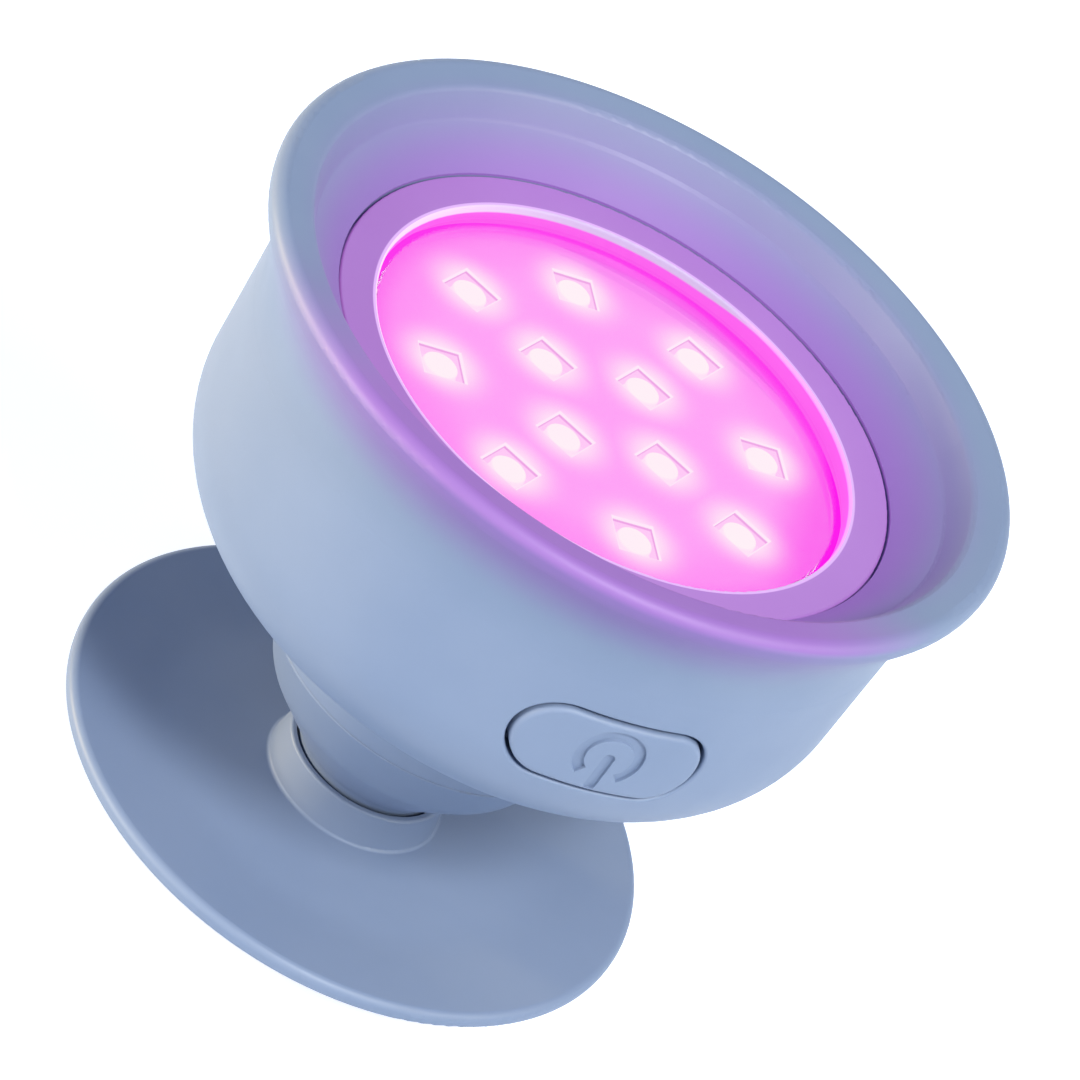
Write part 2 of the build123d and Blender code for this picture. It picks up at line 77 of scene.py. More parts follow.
def direction(azimuth, elevation):
    """Unit vector from the object towards a place round it. Azimuth 0 is in front, at -Y."""
    flat = math.cos(elevation)
    return Vector((math.sin(azimuth) * flat, -math.cos(azimuth) * flat, math.sin(elevation)))


back = direction(CAMERA_AZIMUTH, CAMERA_ELEVATION)
right = Vector((math.cos(CAMERA_AZIMUTH), math.sin(CAMERA_AZIMUTH), 0))
up = back.cross(right)
turned_right = math.cos(CAMERA_ROLL) * right + math.sin(CAMERA_ROLL) * up
turned_up = back.cross(turned_right)
camera_data = bpy.data.cameras.new("camera")
camera_data.lens = CAMERA_LENS
camera = bpy.data.objects.new("camera", camera_data)
camera.matrix_world = Matrix.Translation(CAMERA_AIM + CAMERA_DISTANCE * back) @ (
    Matrix((turned_right, turned_up, back)).transposed().to_4x4()
)
bpy.context.scene.collection.objects.link(camera)
bpy.context.scene.camera = camera
print("camera at", [round(x, 4) for x in camera.matrix_world.translation])

# %% [markdown]
# ## Writing materials as sums
#
# A material is a tree of nodes. Nodes are slow to read, and most of them only do sums: a distance, a
# fade between two heights, a blend of two colours. So one small class wraps a socket and gives it
# Python's own signs. Each sign adds the Math node that does the sum. Everything else comes from one
# method, which takes a node's type, the values or links of its sockets, and its settings.

# %% Wrap a socket
class Shade:
    """One socket of a material, for use in Python expressions."""

    def __init__(self, tree, socket=None):
        self.tree = tree
        self.socket = socket

    def node(self, kind, inputs, output=0, **settings):
        """Adds a node and returns one of its outputs."""
        made = self.tree.nodes.new(kind)
        for name, value in settings.items():
            setattr(made, name, value)
        for name, value in inputs.items():
            if isinstance(value, Shade):
                self.tree.links.new(value.socket, made.inputs[name])
            else:
                made.inputs[name].default_value = value
        return Shade(self.tree, made.outputs[output])

    def maths(self, operation, first, second=0.0):
        """Adds the Math node of an operation on one or two values."""
        return self.node("ShaderNodeMath", {0: first, 1: second}, operation=operation)

    def __add__(self, other):
        return self.maths("ADD", self, other)

    def __sub__(self, other):
        return self.maths("SUBTRACT", self, other)

    def __rsub__(self, other):
        return self.maths("SUBTRACT", other, self)

    def __mul__(self, other):
        return self.maths("MULTIPLY", self, other)

    def __truediv__(self, other):
        return self.maths("DIVIDE", self, other)

    def __rtruediv__(self, other):
        return self.maths("DIVIDE", other, self)

    def __pow__(self, power):
        return self.maths("POWER", self, power)

    def __rpow__(self, base):
        return self.maths("POWER", base, self)

    def __lt__(self, limit):
        return self.maths("LESS_THAN", self, limit)

    def __gt__(self, limit):
        return self.maths("GREATER_THAN", self, limit)

    __radd__ = __add__
    __rmul__ = __mul__


def fade(value, start, end):
    """0 at start, 1 at end, and a soft curve between them."""
    return value.node(
        "ShaderNodeMapRange",
        {"Value": value, "From Min": start, "From Max": end},
        interpolation_type="SMOOTHSTEP",
    )


def blend(amount, first, second):
    """Colour that goes from first to second as amount goes from 0 to 1."""
    return amount.node(
        "ShaderNodeMix", {0: amount, 6: first, 7: second}, output=2, data_type="RGBA"
    )


def colour(red, green, blue):
    """Linear colour of a screen colour that is given from 0 to 255, by the sRGB formula."""
    parts = [channel / 255 for channel in (red, green, blue)]
    linear = [c / 12.92 if c < 0.04045 else ((c + 0.055) / 1.055) ** 2.4 for c in parts]
    return (*linear, 1.0)


print("grey 128 in linear light:", round(colour(128, 128, 128)[0], 3))

# %% [markdown]
# ## Where on the object a point lies
#
# Nearly everything here is round about one upright axis, and so is what changes over it: the pink
# light fades with the distance from the axis and with the height. The Object coordinates give a
# point's place in metres, and four numbers follow from it, all in millimetres: x, y, z and the distance
# from the axis. Nothing moulded is perfectly even, so two more tools give a fine grain and slow clouds.
# Each finish is kept by the name of the stuff it is for.

# %% Start a material
GRAIN_DETAIL = 2.0
CLOUD_DETAIL = 3.0
NOISE_LOW = 0.3
NOISE_HIGH = 0.7


def start_finish(name, **constants):
    """New material with its shader's constants set, and the Object coordinates, in metres."""
    material = bpy.data.materials.new(name)
    material.use_nodes = True
    principled = material.node_tree.nodes["Principled BSDF"]
    for socket, value in constants.items():
        principled.inputs[socket.replace("_", " ")].default_value = value
    return material, Shade(material.node_tree).node("ShaderNodeTexCoord", {}, output="Object")


def end_finish(material, **sockets):
    """Links the values that change over the surface to the shader, and returns the material."""
    tree = material.node_tree
    for name, value in sockets.items():
        tree.links.new(value.socket, tree.nodes["Principled BSDF"].inputs[name.replace("_", " ")])
    print(material.name, "nodes:", len(tree.nodes))
    return material


def place_of(point):
    """The point's x, y and z and its distance from the axis, in millimetres."""
    x, y, z = (point.node("ShaderNodeSeparateXYZ", {0: point}, output=i) / MM for i in range(3))
    return x, y, z, (x * x + y * y) ** 0.5


def toward(x, y, side):
    """How far a place lies towards a side, which is given as the x and y of a direction."""
    return x * side[0] + y * side[1]


def under(z, top, start, end):
    """0 at a depth of start under the top, and 1 at a depth of end."""
    return fade(z, top - start, top - end)


def noise(point, size, detail):
    """Noise with a main grain of that size in millimetres."""
    return point.node(
        "ShaderNodeTexNoise", {"Vector": point, "Scale": 1 / (size * MM), "Detail": detail}
    )


def bump(height, depth):
    """Normal of a surface whose height changes: depth is in millimetres."""
    return height.node("ShaderNodeBump", {"Height": height, "Strength": 1.0, "Distance": depth * MM})


def grain(point, size, depth):
    """Normal of a fine moulded texture: its grain's size and depth are in millimetres."""
    return bump(noise(point, size, GRAIN_DETAIL), depth)


def cloud(point, size, low, high):
    """Slow uneven values between low and high, in patches of about that size in millimetres."""
    return point.node(
        "ShaderNodeMapRange",
        {"Value": noise(point, size, CLOUD_DETAIL), "From Min": NOISE_LOW, "From Max": NOISE_HIGH,
         "To Min": low, "To Max": high},
    )


def patches(point, size, tone, deep):
    """Two tones in slow patches of about that size in millimetres."""
    return blend(cloud(point, size, 0.0, 1.0), tone, deep)


finishes = {}
print("materials that come with the frame:", len(bpy.data.materials))

# %% [markdown]
# ## Periwinkle plastic
#
# The base, the stem and the bowl are moulded in one satin plastic. It has no pattern, but it is not
# a flat colour either: the mould's fine spark texture breaks up the highlights, and the gloss drifts a
# little over the surface. A rough gloss of ordinary strength gives the broad pale sheen.

# %% Make the periwinkle plastic
PERIWINKLE = colour(129, 145, 174)
PERIWINKLE_DEEP = colour(124, 141, 171)
SATIN_SHINE = 0.6
SATIN_GLOSS = (0.46, 0.54)
TONE_PATCH = 14
GLOSS_PATCH = 9
SPARK_SIZE = 0.22
SPARK_DEPTH = 0.004


def satin_skin(point):
    """Colour of the plastic, with slow patches of a slightly deeper tone."""
    return patches(point, TONE_PATCH, PERIWINKLE, PERIWINKLE_DEEP)


def satin_plastic(name):
    material, point = start_finish(name, Specular_IOR_Level=SATIN_SHINE)
    return end_finish(
        material,
        Base_Color=satin_skin(point),
        Roughness=cloud(point, GLOSS_PATCH, *SATIN_GLOSS),
        Normal=grain(point, SPARK_SIZE, SPARK_DEPTH),
    )


finishes["housing"] = finishes["button"] = satin_plastic("periwinkle_plastic")

# %% [markdown]
# ## The soft cup
#
# The cup is silicone: softer and duller than the plastic, and it lets light through. Where it is lit
# from within, it looks purple rather than periwinkle: near the groove, and in the thin lip on the side
# of the button. Real light inside the wall would need many samples and is lost in an exported model.
# So both are painted: the colour turns to purple by the distance from the axis inside the cup, and by
# height and direction on the lip, and a faint glow is added where the light leaves the silicone.

# %% Make the soft silicone
CUP_PURPLE = (0.22, 0.15, 0.4, 1.0)
CUP_GLOW = (0.08, 0.0, 0.11, 1.0)
LIP_PURPLE = (0.22, 0.13, 0.4, 1.0)
LIP_GLOW = (0.105, 0.015, 0.11, 1.0)
DARK = (0.0, 0.0, 0.0, 1.0)
CUP_GLOSS = (0.48, 0.56)
CUP_LIT_RADII = (34.5, 27.2)
CUP_FOOT = 0.25
CUP_DIM_PLACES = (0, -26)
CUP_DIM_SHARE = 0.5
LIP_RADIUS = 32.5
FLANK_SIDE = (-0.47, -0.88)
FLANK_FACING = (0.4, 0.98)
FLANK_DEPTHS = (9, 1.5)
LAND_SIDE = (-0.375, -0.927)
LAND_FACING = (0.45, 0.85)
LAND_DEPTHS = (1.3, 0.5)
lip_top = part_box("face_cup")[1][2] / MM
bezel_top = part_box("bezel_ring")[1][2] / MM


def soft_silicone(name):
    material, point = start_finish(name, Specular_IOR_Level=SATIN_SHINE, Emission_Strength=1.0)
    x, y, z, radius = place_of(point)
    inside = fade(radius, *CUP_LIT_RADII) * under(z, bezel_top, CUP_FOOT, 0)
    outside = radius > LIP_RADIUS
    flank_facing = fade(toward(x, y, FLANK_SIDE) / radius, *FLANK_FACING)
    flank = flank_facing * under(z, lip_top, *FLANK_DEPTHS) * outside
    land_facing = fade(toward(x, y, LAND_SIDE) / radius, *LAND_FACING)
    land = land_facing * under(z, lip_top, *LAND_DEPTHS) * outside
    lip = flank.maths("MAXIMUM", flank, land)
    # The painted glow inside the cup is dimmed towards -x, as painted shade.
    within = blend(inside * (1 - CUP_DIM_SHARE * fade(x, *CUP_DIM_PLACES)), DARK, CUP_GLOW)
    return end_finish(
        material,
        Base_Color=blend(lip, blend(inside, satin_skin(point), CUP_PURPLE), LIP_PURPLE),
        Roughness=cloud(point, GLOSS_PATCH, *CUP_GLOSS),
        Normal=grain(point, SPARK_SIZE, SPARK_DEPTH),
        Emission_Color=blend(land, within, LIP_GLOW),
    )


finishes["soft_cup"] = soft_silicone("soft_silicone")

# %% [markdown]
# ## The bezel
#
# The ring round the window has the same satin surface, and the light module sits right behind it. Its
# purple is painted light: the colour is painted purple, and a painted glow is added, which is weaker
# on the side towards -x. A painted highlight runs along its inner edge, and in the fine groove round
# it the glow is fainter, as painted shade. Its inner wall faces the emitters and is painted with their
# light: pale towards -x, lilac in the middle, pink towards +x and magenta low down, where its colour
# is black.

# %% Make the bezel
BEZEL_PAINTED_PURPLE = colour(112, 92, 150)
BEZEL_PAINTED_PURPLE_DEEP = colour(106, 87, 145)
BEZEL_GLOW = (0.295, 0.1, 0.34, 1.0)
BEZEL_GLOW_LEFT = (0.235, 0.06, 0.26, 1.0)
BEZEL_GLOW_EDGE = (0.62, 0.36, 0.64, 1.0)
GROOVE_GLOW = (0.07, 0.03, 0.13, 1.0)
WALL_PALE = (0.84, 0.63, 0.7, 1.0)
WALL_LILAC = (0.52, 0.42, 0.52, 1.0)
WALL_PINK = (0.95, 0.3, 0.8, 1.0)
WALL_MAGENTA = (0.96, 0.11, 0.84, 1.0)
BEZEL_SHINE = 0.5
BEZEL_GLOSS = (0.4, 0.48)
BEZEL_SPARK_DEPTH = 0.003
FLAT_PLACES = (-6, -24)
LILAC_PLACES = (-20, 4)
PINK_PLACES = (15, 20)
WALL_TALL = 0.85
WALL_TALL_RIGHT = 0.45
TALL_PLACES = (12, 19)
WALL_SOFTNESS = 0.25
BEZEL_HOLE = 23.72
BEZEL_EDGE = 23.92
EDGE_SOFTNESS = 0.12
GROOVE_RADIUS = 27.0
GROOVE_DEPTHS = (0.1, 0.3)


def bezel_plastic(name):
    material, point = start_finish(name, Specular_IOR_Level=BEZEL_SHINE, Emission_Strength=1.0)
    x, y, z, radius = place_of(point)
    # Painted glow, weaker towards -x, with a painted highlight at the hole's edge and a fainter glow in
    # the groove as painted shade.
    flat = blend(fade(x, *FLAT_PLACES), BEZEL_GLOW, BEZEL_GLOW_LEFT)
    ring = blend(fade(radius, BEZEL_EDGE + EDGE_SOFTNESS, BEZEL_EDGE), flat, BEZEL_GLOW_EDGE)
    groove = (radius > GROOVE_RADIUS) * under(z, bezel_top, *GROOVE_DEPTHS)
    # The hole's wall is painted with the emitters' light: pale, lilac and pink by x, and magenta low
    # down.
    lilac = blend(fade(x, *LILAC_PLACES), WALL_PALE, WALL_LILAC)
    tall = fade(x, *TALL_PLACES) * (WALL_TALL_RIGHT - WALL_TALL) + WALL_TALL
    low = under(z + tall, bezel_top, 0, WALL_SOFTNESS)
    wall = blend(low, blend(fade(x, *PINK_PLACES), lilac, WALL_PINK), WALL_MAGENTA)
    in_hole = radius < BEZEL_HOLE
    return end_finish(
        material,
        # The colour is painted purple for the module's light, and it is black under the wall's painted
        # magenta.
        Base_Color=blend(in_hole * low, patches(point, TONE_PATCH, BEZEL_PAINTED_PURPLE, BEZEL_PAINTED_PURPLE_DEEP), DARK),
        Roughness=cloud(point, GLOSS_PATCH, *BEZEL_GLOSS),
        Normal=grain(point, SPARK_SIZE, BEZEL_SPARK_DEPTH),
        Emission_Color=blend(in_hole, blend(groove, ring, GROOVE_GLOW), wall),
    )


finishes["bezel"] = bezel_plastic("bezel_plastic")

# %% [markdown]
# ## The lit plate and the emitters
#
# The plate behind the window is white plastic, but the emitters light it so strongly that it looks
# pink: nearly white next to each emitter, and magenta by the wall, furthest from the light. Lamps in
# the emitters would make this by themselves, but they would need thousands of samples and would be
# lost in the exported model. So the plate glows by a rule: the distance to the nearest emitter. All
# eight outer emitters are folded onto one by their angle, so that one distance serves for the ring.

# %% Make the lit reflector
LENS_PINK = colour(255, 144, 246)
LENS_ROSE = colour(255, 120, 243)
LENS_MAGENTA = colour(253, 30, 236)
LENS_HALO = colour(255, 232, 247)
WELL_EDGE = colour(255, 234, 250)
WELL_LINE = colour(236, 146, 226)
WELL_WALL = colour(255, 196, 246)
LENS_GLOSS = (0.5, 0.6)
HALO_DISTANCES = (7.0, 1.2)
HALO_POWER = 2.2
ROSE_RADII = (15, 21)
RIM_RADII = (20.2, 23.5)
RIM_SHARE = 0.85
FAR_SIDE = (0.93, -0.37)
FAR_PLACES = (16, 22)
EDGE_DEPTHS = (0.02, 0.06)
LINE_DEPTHS = (0.2, 0.3)
WALL_DEPTHS = (0.4, 0.52)
OUTER_RING = 16.3
OUTER_COUNT = 8
INNER_RING = 7.0
INNER_COUNT = 4
plate_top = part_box("reflector_plate")[1][2] / MM


def emitter_distance(x, y, radius, ring, count, start):
    """Distance to the nearest emitter of a ring: all of them are folded onto one."""
    step = math.tau / count
    angle = y.maths("ARCTAN2", y, x)
    folded = angle.maths("FLOORED_MODULO", angle - start + step / 2, step) - step / 2
    along = radius * folded.maths("COSINE", folded) - ring
    across = radius * folded.maths("SINE", folded)
    return (along * along + across * across) ** 0.5


def nearest_emitter(x, y, radius):
    """Distance to the nearest emitter of both rings, in millimetres."""
    outer = emitter_distance(x, y, radius, OUTER_RING, OUTER_COUNT, 0.0)
    inner = emitter_distance(x, y, radius, INNER_RING, INNER_COUNT, math.pi / INNER_COUNT)
    return outer.maths("MINIMUM", outer, inner)


def lit_reflector(name):
    material, point = start_finish(name, Base_Color=DARK, Specular_IOR_Level=0.0, Emission_Strength=1.0)
    x, y, z, radius = place_of(point)
    halo = fade(nearest_emitter(x, y, radius), *HALO_DISTANCES) ** HALO_POWER
    # The painted magenta by the wall also reaches further in on the side towards FAR_SIDE.
    far = fade(toward(x, y, FAR_SIDE), *FAR_PLACES)
    rim = far.maths("MAXIMUM", far, fade(radius, *RIM_RADII) * RIM_SHARE)
    ground = blend(fade(radius, *ROSE_RADII), LENS_PINK, LENS_ROSE)
    glow = blend(halo, blend(rim, ground, LENS_MAGENTA), LENS_HALO)
    # The wells' chamfers and walls are painted light too: a bright edge, a darker line under it and a
    # pale wall.
    well_steps = ((EDGE_DEPTHS, WELL_EDGE), (LINE_DEPTHS, WELL_LINE), (WALL_DEPTHS, WELL_WALL))
    for depths, tone in well_steps:
        glow = blend(under(z, plate_top, *depths), glow, tone)
    return end_finish(
        material, Emission_Color=glow, Roughness=cloud(point, GLOSS_PATCH, *LENS_GLOSS))


finishes["reflector"] = lit_reflector("lit_reflector")

# %% [markdown]
# An emitter itself is the brightest thing in the picture. Its round lens is nearly white, and its
# corners, further from the chip in the middle, are a pale pink. The same distance draws both.

# %% Make the lit emitter
EMITTER_WHITE = colour(255, 242, 247)
EMITTER_RIM = colour(255, 204, 247)
EMITTER_GLOSS = (0.3, 0.4)
EMITTER_PATCH = 1
CORNER_DISTANCES = (1.5, 1.9)


def lit_emitter(name):
    material, point = start_finish(name, Base_Color=DARK, Specular_IOR_Level=0.0, Emission_Strength=1.0)
    x, y, z, radius = place_of(point)
    corner = fade(nearest_emitter(x, y, radius), *CORNER_DISTANCES)
    return end_finish(
        material,
        Emission_Color=blend(corner, EMITTER_WHITE, EMITTER_RIM),
        Roughness=cloud(point, EMITTER_PATCH, *EMITTER_GLOSS),
    )


finishes["emitter"] = lit_emitter("lit_emitter")

# %% [markdown]
# ## The clear window
#
# The window is a plate of clear plastic. It bends the light, so the wells behind it look raised, and
# the pictures of them are only in the right place when the window is real glass to the renderer rather
# than left out. Its tint is nearly white, and drifts a little, as moulded plastic does. The seal holds
# the window by its edge, and there the plate fades out: the polished edge would catch a lamp as a thin
# broken glint, which the real one hides under the seal.

# %% Make the clear window
WINDOW_TINT = (1.0, 0.97, 0.99, 1.0)
WINDOW_TINT_DEEP = (1.0, 0.94, 0.99, 1.0)
WINDOW_SHINE = 0.05
WINDOW_IOR = 1.49
WINDOW_FADE = (0.9, 1.2)
window_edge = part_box("lens_window")[1][0] / MM


def clear_window(name):
    material, point = start_finish(
        name, Transmission_Weight=1.0, IOR=WINDOW_IOR, Specular_IOR_Level=WINDOW_SHINE, Roughness=0.0)
    radius = place_of(point)[-1]
    return end_finish(
        material,
        Base_Color=patches(point, GLOSS_PATCH, WINDOW_TINT, WINDOW_TINT_DEEP),
        Alpha=under(radius, window_edge, *WINDOW_FADE),
    )


finishes["window"] = clear_window("clear_window")

# %% [markdown]
# ## Finishes of the inside
#
# The pieces inside are seen when the object is taken apart, so each gets its own finish. Most of them
# are made the same way: two tones in slow patches, a gloss that drifts, and a fine texture of the right
# size. Screws, the ballast plate and the magnet are metal, so their colour is the colour of their
# reflections.

# %% Plain finishes: metals, plastics and foils
GLOSS_SHARE = 0.6


def patchy(name, tone, deep, patch, rough, texture, **constants):
    """Patches of two tones, an uneven gloss, and a texture given by its size and its depth."""
    material, point = start_finish(name, **constants)
    return end_finish(
        material,
        Base_Color=patches(point, patch, tone, deep),
        Roughness=cloud(point, GLOSS_SHARE * patch, *rough),
        Normal=grain(point, *texture),
    )


def grey(level, warm=0):
    """Grey of a screen level, made a little warmer or cooler."""
    return colour(level + warm, level, level - warm)


finishes["steel"] = patchy(
    "machined_steel", grey(178), grey(162), 2, (0.25, 0.38), (0.08, 0.002), Metallic=1.0)
finishes["magnet"] = patchy(
    "nickel_plating", grey(190, 5), grey(178, 6), 3, (0.16, 0.26), (0.3, 0.001), Metallic=1.0)
finishes["cell_foil"] = patchy(
    "pouch_foil", grey(196), grey(182, 2), 6, (0.28, 0.42), (2.2, 0.12), Metallic=1.0)
finishes["inner_plastic"] = patchy("grey_moulding", grey(206), grey(198), 5, (0.45, 0.56), (0.2, 0.005))
finishes["bush"] = patchy("white_acetal", grey(228, 3), grey(220, 4), 3, (0.3, 0.38), (0.4, 0.001))
finishes["chip"] = patchy("black_moulding", grey(42), grey(34), 1.5, (0.5, 0.62), (0.09, 0.003))
finishes["plunger"] = patchy("plunger_moulding", grey(96), grey(84), 1.5, (0.38, 0.48), (0.15, 0.002))

# %% [markdown]
# Five pieces have a pattern of their own. The heat spreader is turned on a lathe, so fine rings run
# round its axis. The control board has copper tracks under green lacquer, and the light board has the
# same under white lacquer. The foam and the foot pad have small cells, which Voronoi cells give.

# %% Finishes with a pattern
SPREADER_TONE = grey(200)
SPREADER_DEEP = grey(186)
SPREADER_GLOSS = (0.28, 0.4)
TURNING_PITCH = 0.35
TURNING_DEPTH = 0.01
METAL_PATCH = 8
METAL_GLOSS_PATCH = 5
TRACK_SETTINGS = {"Mortar Size": 0.06, "Mortar Smooth": 0.2}
TRACK_OFFSET = 0.35
TRACK_DEPTH = 0.04
LACQUER_GLOSS = (0.3, 0.4)
LACQUER_COAT = (0.3, 0.5)
LACQUER_COAT_GLOSS = 0.2
LACQUER_PATCH = 4
COAT_PATCH = 6
CELL_SHINE = 0.3
CELL_WALLS = (0.5, 0.1)
CELL_GLOSS_PATCH = 5


def turned_metal(name):
    material, point = start_finish(name, Metallic=1.0)
    radius = place_of(point)[-1]
    rings = radius.maths("SINE", radius * (math.tau / TURNING_PITCH))
    return end_finish(
        material,
        Base_Color=patches(point, METAL_PATCH, SPREADER_TONE, SPREADER_DEEP),
        Roughness=cloud(point, METAL_GLOSS_PATCH, *SPREADER_GLOSS),
        Normal=bump(rings, TURNING_DEPTH),
    )


def lacquered_board(name, lacquer, track, pitch):
    """Board with copper tracks that show as a slightly lighter, raised grid."""
    material, point = start_finish(name, Coat_Roughness=LACQUER_COAT_GLOSS)
    tracks = point.node(
        "ShaderNodeTexBrick",
        {"Vector": point, "Scale": 1 / (pitch * MM), **TRACK_SETTINGS},
        output="Fac",
        offset=TRACK_OFFSET,
    )
    return end_finish(
        material,
        Base_Color=blend(tracks, lacquer, track),
        Roughness=cloud(point, LACQUER_PATCH, *LACQUER_GLOSS),
        Coat_Weight=cloud(point, COAT_PATCH, *LACQUER_COAT),
        Normal=bump(tracks, TRACK_DEPTH),
    )


def cellular(name, tone, deep, cell, depth, rough):
    """Foam or rubber with small cells of a size in millimetres."""
    material, point = start_finish(name, Specular_IOR_Level=CELL_SHINE)
    cells = point.node("ShaderNodeTexVoronoi", {"Vector": point, "Scale": 1 / (cell * MM)})
    return end_finish(
        material,
        Base_Color=blend(fade(cells, *CELL_WALLS), tone, deep),
        Roughness=cloud(point, CELL_GLOSS_PATCH, *rough),
        Normal=bump(cells, depth),
    )


finishes["spreader"] = turned_metal("turned_aluminium")
finishes["green_board"] = lacquered_board("green_lacquer", colour(28, 92, 62), colour(58, 124, 84), 2.6)
finishes["white_board"] = lacquered_board("white_lacquer", grey(232), grey(214, 3), 4.0)
finishes["foam"] = cellular("white_foam", grey(222, 3), grey(188, 4), 0.5, 0.1, (0.8, 0.9))
finishes["soft_pad"] = cellular("foot_rubber", grey(150, -5), grey(132, -6), 0.9, 0.04, (0.7, 0.8))

# %% [markdown]
# The seals are silicone, and the one round the window sits in the full light of the emitters, so it
# glows magenta. The wires come in pairs, one red and one black, and one finish gives both: the side of
# the middle that a wire lies on picks its colour.

# %% Seals, wires and the socket
SEAL_TONE = grey(168, -8)
SEAL_DEEP = grey(158, -8)
SEAL_GLOW = (0.96, 0.11, 0.84, 1.0)
SEAL_SHINE = 0.2
SEAL_PATCH = 3
SEAL_GLOSS = (0.6, 0.7)
SEAL_GRAIN = (0.2, 0.003)
LIT_RADIUS = 26.0
WIRE_RED = colour(176, 34, 32)
WIRE_BLACK = grey(36)
WIRE_PATCH = 2
WIRE_GLOSS = (0.35, 0.45)
WIRE_GRAIN = (0.5, 0.01)
CONTACT_GOLD = colour(226, 184, 104)
SHELL_METAL = grey(188, 2)
TONGUE_BLACK = grey(30)


def silicone_seal(name):
    """Grey silicone, which glows where it lies in the light round the window."""
    material, point = start_finish(name, Emission_Strength=1.0, Specular_IOR_Level=SEAL_SHINE)
    lit = place_of(point)[-1] < LIT_RADIUS
    return end_finish(
        material,
        Base_Color=blend(lit, patches(point, SEAL_PATCH, SEAL_TONE, SEAL_DEEP), DARK),
        Roughness=cloud(point, SEAL_PATCH, *SEAL_GLOSS),
        Normal=grain(point, *SEAL_GRAIN),
        Emission_Color=blend(lit, DARK, SEAL_GLOW),
    )


def paired_wire(name, axis):
    """Red on one side of the middle and black on the other, along the x or the y axis."""
    material, point = start_finish(name)
    return end_finish(
        material,
        Base_Color=blend(place_of(point)[axis] > 0.0, WIRE_BLACK, WIRE_RED),
        Roughness=cloud(point, WIRE_PATCH, *WIRE_GLOSS),
        Normal=grain(point, *WIRE_GRAIN),
    )


SOCKET_PATCH = 2
SOCKET_GLOSS = (0.25, 0.35)
SOCKET_GRAIN = (0.3, 0.001)
TONGUE_WIDTH = 6.7
TONGUE_TALL = 0.7
TONGUE_REACH = 0.2
BACK_WALL = 1
CONTACT_SKIN = 0.02
socket_low, socket_high = (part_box("charge_socket")[i] / MM for i in range(2))
socket_z = (socket_low[2] + socket_high[2]) / 2


def socket_metal(name):
    """Metal shell, black tongue and gold contacts, by their place in the socket."""
    material, point = start_finish(name)
    x, y, z, radius = place_of(point)
    height = z.maths("ABSOLUTE", z - socket_z)
    across = x.maths("ABSOLUTE", x)
    near = (height < TONGUE_TALL / 2 + TONGUE_REACH) * (across < TONGUE_WIDTH / 2 + TONGUE_REACH)
    tongue = near * (y > socket_low[1] + BACK_WALL)
    contact = tongue * (height > TONGUE_TALL / 2 + CONTACT_SKIN)
    return end_finish(
        material,
        Base_Color=blend(contact, blend(tongue, SHELL_METAL, TONGUE_BLACK), CONTACT_GOLD),
        Metallic=tongue.maths("MAXIMUM", 1.0 - tongue, contact),
        Roughness=cloud(point, SOCKET_PATCH, *SOCKET_GLOSS),
        Normal=grain(point, *SOCKET_GRAIN),
    )


finishes["seal"] = silicone_seal("silicone_seal")
finishes["wire"] = paired_wire("battery_wire", 1)
finishes["light_wire"] = paired_wire("light_wire", 0)
finishes["socket"] = socket_metal("socket_metal")
print("socket in the frame:", [round(c, 2) for c in socket_low], [round(c, 2) for c in socket_high])

# %% [markdown]
# The frame marks every piece with the name of its stuff. Each name is looked up here and the finish
# takes its place, so no piece keeps a plain colour. The wires of the light board run the other way
# round than those of the battery, so they have a finish of their own.

# %% Put the finishes on
for node in nodes.values():
    node.data.materials[0] = finishes[node.data.materials[0].name]
nodes["light_leads"].data.materials[0] = finishes["light_wire"]
in_use = {node.data.materials[0].name for node in nodes.values()}
print("pieces with a finish:", len(nodes), "finishes in use:", len(in_use))

# %% [markdown]
# ## Tools for modelling
#
# An operator acts on everything that is selected, and the frame arrives with its pieces selected. So
# each piece starts by dropping the selection. In edit mode the faces to work on are chosen in code, by
# where they lie or the way they face, and all of a modelling step's lengths are in millimetres.

# %% Tools for modelling
SMOOTH_ANGLE = math.radians(35)
TOUCH = 0.01
HAIR = 0.001
EDGE_STEPS = 2


def drop_selection():
    bpy.ops.object.select_all(action="DESELECT")


def work_on(piece):
    """Makes one piece the only selected and active one."""
    drop_selection()
    piece.select_set(True)
    bpy.context.view_layer.objects.active = piece


def name_new(name):
    """Names the object that was just added, and fixes its place in its mesh."""
    piece = bpy.context.object
    piece.name = name
    piece.data.name = name
    bpy.ops.object.transform_apply(location=True, rotation=True, scale=True)
    return piece


def pick(piece, wanted, kind="verts"):
    """In edit mode, selects the vertices or faces whose middle in millimetres passes the test."""
    mesh = bmesh.from_edit_mesh(piece.data)
    bpy.ops.mesh.select_mode(type="VERT" if kind == "verts" else "FACE")
    bpy.ops.mesh.select_all(action="DESELECT")
    chosen = 0
    for item in getattr(mesh, kind):
        middle = item.co if kind == "verts" else item.calc_center_median()
        item.select_set(bool(wanted(middle / MM, item.normal)))
        chosen += item.select
    mesh.select_flush_mode()
    bmesh.update_edit_mesh(piece.data)
    return chosen


def modify(piece, kind, **settings):
    """Adds a modifier with its settings and applies it."""
    work_on(piece)
    modifier = piece.modifiers.new(kind.lower(), kind)
    for name, value in settings.items():
        setattr(modifier, name, value)
    bpy.ops.object.modifier_apply(modifier=modifier.name)


def cut(piece, cutter, operation="DIFFERENCE"):
    """Cuts one piece with another, or joins them, and deletes the other."""
    modify(piece, "BOOLEAN", object=cutter, operation=operation, solver="EXACT")
    bpy.data.objects.remove(cutter)


